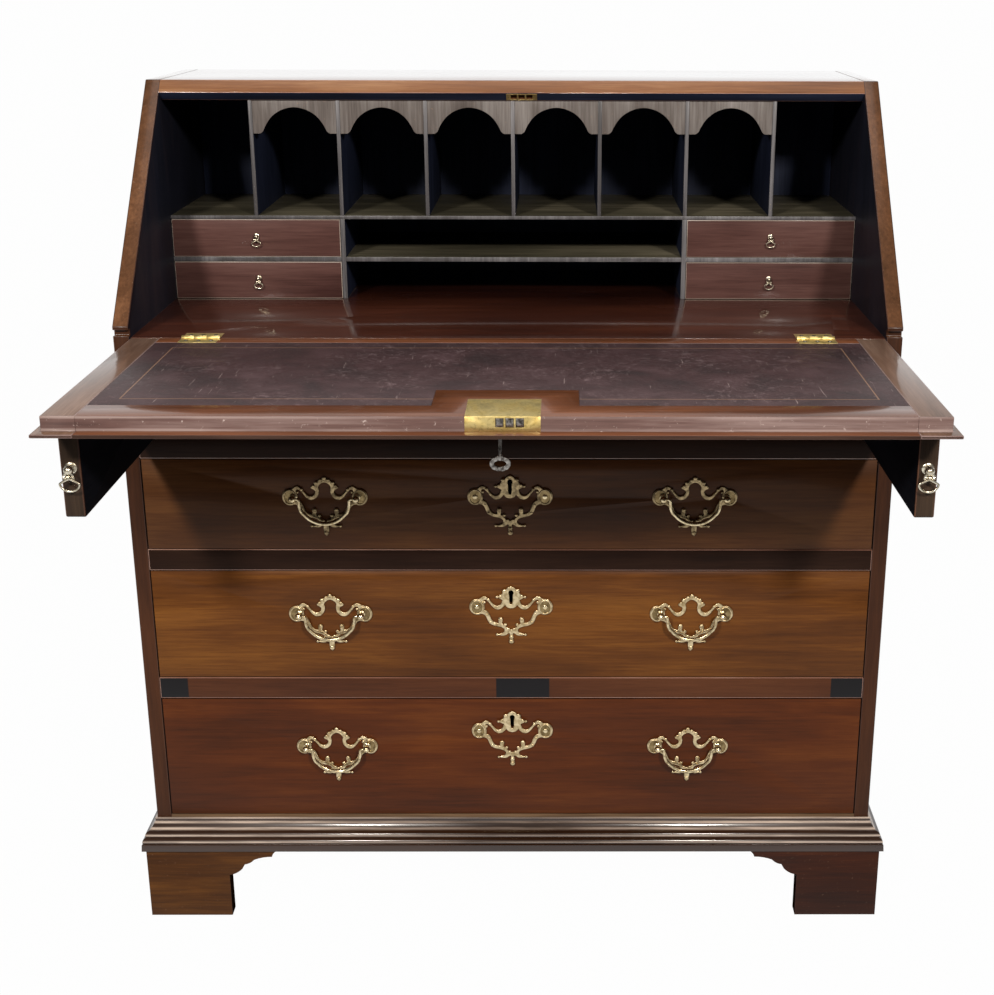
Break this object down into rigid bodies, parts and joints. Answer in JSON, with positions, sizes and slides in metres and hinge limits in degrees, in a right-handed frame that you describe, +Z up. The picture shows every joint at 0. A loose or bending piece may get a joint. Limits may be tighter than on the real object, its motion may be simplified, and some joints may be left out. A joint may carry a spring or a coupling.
{
  "type": "slant-front desk",
  "caption": "Slant-front writing desk with a hinged leather-lined fall on sliding lopers, pigeonholes, small drawers and long drawers with pierced brass handles, on bracket feet.",
  "frame": {"origin": "middle of the footprint at floor level, with the fall open and the lopers out", "axes": "+X to the desk's right as its user faces it, +Y from front to back, +Z up"},
  "size_m": [0.9894, 0.841, 1.0775],
  "materials": {
    "mahogany": "polished reddish brown mahogany",
    "gallery_wood": "darkened mahogany",
    "inner_oak": "plain unpolished oak",
    "leather": "worn aubergine brown leather",
    "handle_brass": "aged brass",
    "lock_brass": "yellow lacquered brass",
    "key_steel": "dull grey steel"
  },
  "bodies": {
    "carcase": {"side_left": "mahogany", "side_right": "mahogany", "top_board": "mahogany", "strike_plate": "lock_brass", "back_boards": "inner_oak", "writing_bed": "mahogany", "bottom_board": "inner_oak", "front_rails": "mahogany", "dust_boards": "inner_oak", "drawer_runners": "inner_oak", "loper_guides": "mahogany", "base_moulding": "mahogany", "bracket_feet": "mahogany", "foot_blocks": "inner_oak", "gallery_dividers": "gallery_wood", "gallery_partitions": "gallery_wood", "gallery_valances": "gallery_wood", "gallery_shelves": "gallery_wood", "bed_hinge_leaves": "lock_brass"},
    "fall": {"fall_panel": "mahogany", "fall_clamps": "mahogany", "fall_leather": "leather", "fall_lock_case": "lock_brass", "fall_lock_plate": "lock_brass", "fall_hinge_leaves": "lock_brass"},
    "bolts": {"fall_bolts": "key_steel"},
    "key": {"fall_key": "key_steel"},
    "loper_left": {"loper_left": "mahogany", "loper_knob_left": "handle_brass"},
    "loper_drop_left": {"loper_drop_left": "handle_brass"},
    "loper_right": {"loper_right": "mahogany", "loper_knob_right": "handle_brass"},
    "loper_drop_right": {"loper_drop_right": "handle_brass"},
    "low_drawer": {"low_drawer_front": "mahogany", "low_drawer_box": "inner_oak", "low_drawer_brasses": "handle_brass"},
    "low_bail_left": {"low_bail_left": "handle_brass"},
    "low_bail_right": {"low_bail_right": "handle_brass"},
    "middle_drawer": {"middle_drawer_front": "mahogany", "middle_drawer_box": "inner_oak", "middle_drawer_brasses": "handle_brass"},
    "middle_bail_left": {"middle_bail_left": "handle_brass"},
    "middle_bail_right": {"middle_bail_right": "handle_brass"},
    "top_drawer": {"top_drawer_front": "mahogany", "top_drawer_box": "inner_oak", "top_drawer_brasses": "handle_brass"},
    "top_bail_left": {"top_bail_left": "handle_brass"},
    "top_bail_right": {"top_bail_right": "handle_brass"},
    "small_drawer_upper_left": {"small_drawer_upper_left": "mahogany", "small_drawer_upper_left_knob": "handle_brass"},
    "small_drawer_upper_left_drop": {"small_drawer_upper_left_drop": "handle_brass"},
    "small_drawer_upper_right": {"small_drawer_upper_right": "mahogany", "small_drawer_upper_right_knob": "handle_brass"},
    "small_drawer_upper_right_drop": {"small_drawer_upper_right_drop": "handle_brass"},
    "small_drawer_lower_left": {"small_drawer_lower_left": "mahogany", "small_drawer_lower_left_knob": "handle_brass"},
    "small_drawer_lower_left_drop": {"small_drawer_lower_left_drop": "handle_brass"},
    "small_drawer_lower_right": {"small_drawer_lower_right": "mahogany", "small_drawer_lower_right_knob": "handle_brass"},
    "small_drawer_lower_right_drop": {"small_drawer_lower_right_drop": "handle_brass"}
  },
  "joints": [
    {"name": "fall_hinge", "type": "hinge", "parent": "carcase", "child": "fall", "pos_m": [0, -0.05249, 0.7917], "axis": [-1, 0, 0], "range_deg": [0, 133]},
    {"name": "key_turn", "type": "hinge", "parent": "fall", "child": "key", "pos_m": [0.001, -0.37751, 0.7723], "axis": [0, 0, -1], "range_deg": [0, 90]},
    {"name": "bolt_throw", "type": "slide", "parent": "fall", "child": "bolts", "axis": [0, -1, 0], "range_m": [0, 0.006]},
    {"name": "loper_slide_left", "type": "slide", "parent": "carcase", "child": "loper_left", "axis": [0, 1, 0], "range_m": [0, 0.297]},
    {"name": "loper_drop_swing_left", "type": "hinge", "parent": "loper_left", "child": "loper_drop_left", "pos_m": [-0.4449, -0.36649, 0.7152], "axis": [-1, 0, 0], "range_deg": [0, 80]},
    {"name": "loper_slide_right", "type": "slide", "parent": "carcase", "child": "loper_right", "axis": [0, 1, 0], "range_m": [0, 0.297]},
    {"name": "loper_drop_swing_right", "type": "hinge", "parent": "loper_right", "child": "loper_drop_right", "pos_m": [0.4449, -0.36649, 0.7152], "axis": [-1, 0, 0], "range_deg": [0, 80]},
    {"name": "low_drawer_slide", "type": "slide", "parent": "carcase", "child": "low_drawer", "axis": [0, -1, 0], "range_m": [0, 0.35]},
    {"name": "low_bail_swing_left", "type": "hinge", "parent": "low_drawer", "child": "low_bail_left", "pos_m": [-0.23, -0.07059, 0.248], "axis": [-1, 0, 0], "range_deg": [0, 85]},
    {"name": "low_bail_swing_right", "type": "hinge", "parent": "low_drawer", "child": "low_bail_right", "pos_m": [0.23, -0.07059, 0.248], "axis": [-1, 0, 0], "range_deg": [0, 85]},
    {"name": "middle_drawer_slide", "type": "slide", "parent": "carcase", "child": "middle_drawer", "axis": [0, -1, 0], "range_m": [0, 0.35]},
    {"name": "middle_bail_swing_left", "type": "hinge", "parent": "middle_drawer", "child": "middle_bail_left", "pos_m": [-0.23, -0.07059, 0.436], "axis": [-1, 0, 0], "range_deg": [0, 85]},
    {"name": "middle_bail_swing_right", "type": "hinge", "parent": "middle_drawer", "child": "middle_bail_right", "pos_m": [0.23, -0.07059, 0.436], "axis": [-1, 0, 0], "range_deg": [0, 85]},
    {"name": "top_drawer_slide", "type": "slide", "parent": "carcase", "child": "top_drawer", "axis": [0, -1, 0], "range_m": [0, 0.35]},
    {"name": "top_bail_swing_left", "type": "hinge", "parent": "top_drawer", "child": "top_bail_left", "pos_m": [-0.23, -0.07059, 0.5925], "axis": [-1, 0, 0], "range_deg": [0, 85]},
    {"name": "top_bail_swing_right", "type": "hinge", "parent": "top_drawer", "child": "top_bail_right", "pos_m": [0.23, -0.07059, 0.5925], "axis": [-1, 0, 0], "range_deg": [0, 85]},
    {"name": "small_drawer_upper_left_slide", "type": "slide", "parent": "carcase", "child": "small_drawer_upper_left", "axis": [0, -1, 0], "range_m": [0, 0.12]},
    {"name": "small_drawer_upper_left_drop_swing", "type": "hinge", "parent": "small_drawer_upper_left", "child": "small_drawer_upper_left_drop", "pos_m": [-0.3435, 0.18637, 0.87146], "axis": [-1, 0, 0], "range_deg": [0, 80]},
    {"name": "small_drawer_upper_right_slide", "type": "slide", "parent": "carcase", "child": "small_drawer_upper_right", "axis": [0, -1, 0], "range_m": [0, 0.12]},
    {"name": "small_drawer_upper_right_drop_swing", "type": "hinge", "parent": "small_drawer_upper_right", "child": "small_drawer_upper_right_drop", "pos_m": [0.3435, 0.18637, 0.87146], "axis": [-1, 0, 0], "range_deg": [0, 80]},
    {"name": "small_drawer_lower_left_slide", "type": "slide", "parent": "carcase", "child": "small_drawer_lower_left", "axis": [0, -1, 0], "range_m": [0, 0.12]},
    {"name": "small_drawer_lower_left_drop_swing", "type": "hinge", "parent": "small_drawer_lower_left", "child": "small_drawer_lower_left_drop", "pos_m": [-0.3435, 0.18637, 0.81506], "axis": [-1, 0, 0], "range_deg": [0, 80]},
    {"name": "small_drawer_lower_right_slide", "type": "slide", "parent": "carcase", "child": "small_drawer_lower_right", "axis": [0, -1, 0], "range_m": [0, 0.12]},
    {"name": "small_drawer_lower_right_drop_swing", "type": "hinge", "parent": "small_drawer_lower_right", "child": "small_drawer_lower_right_drop", "pos_m": [0.3435, 0.18637, 0.81506], "axis": [-1, 0, 0], "range_deg": [0, 80]}
  ],
  "couplings": [
    {"joint": "bolt_throw", "follows": "key_turn", "m_per_rad": 0.0038196}
  ]
}
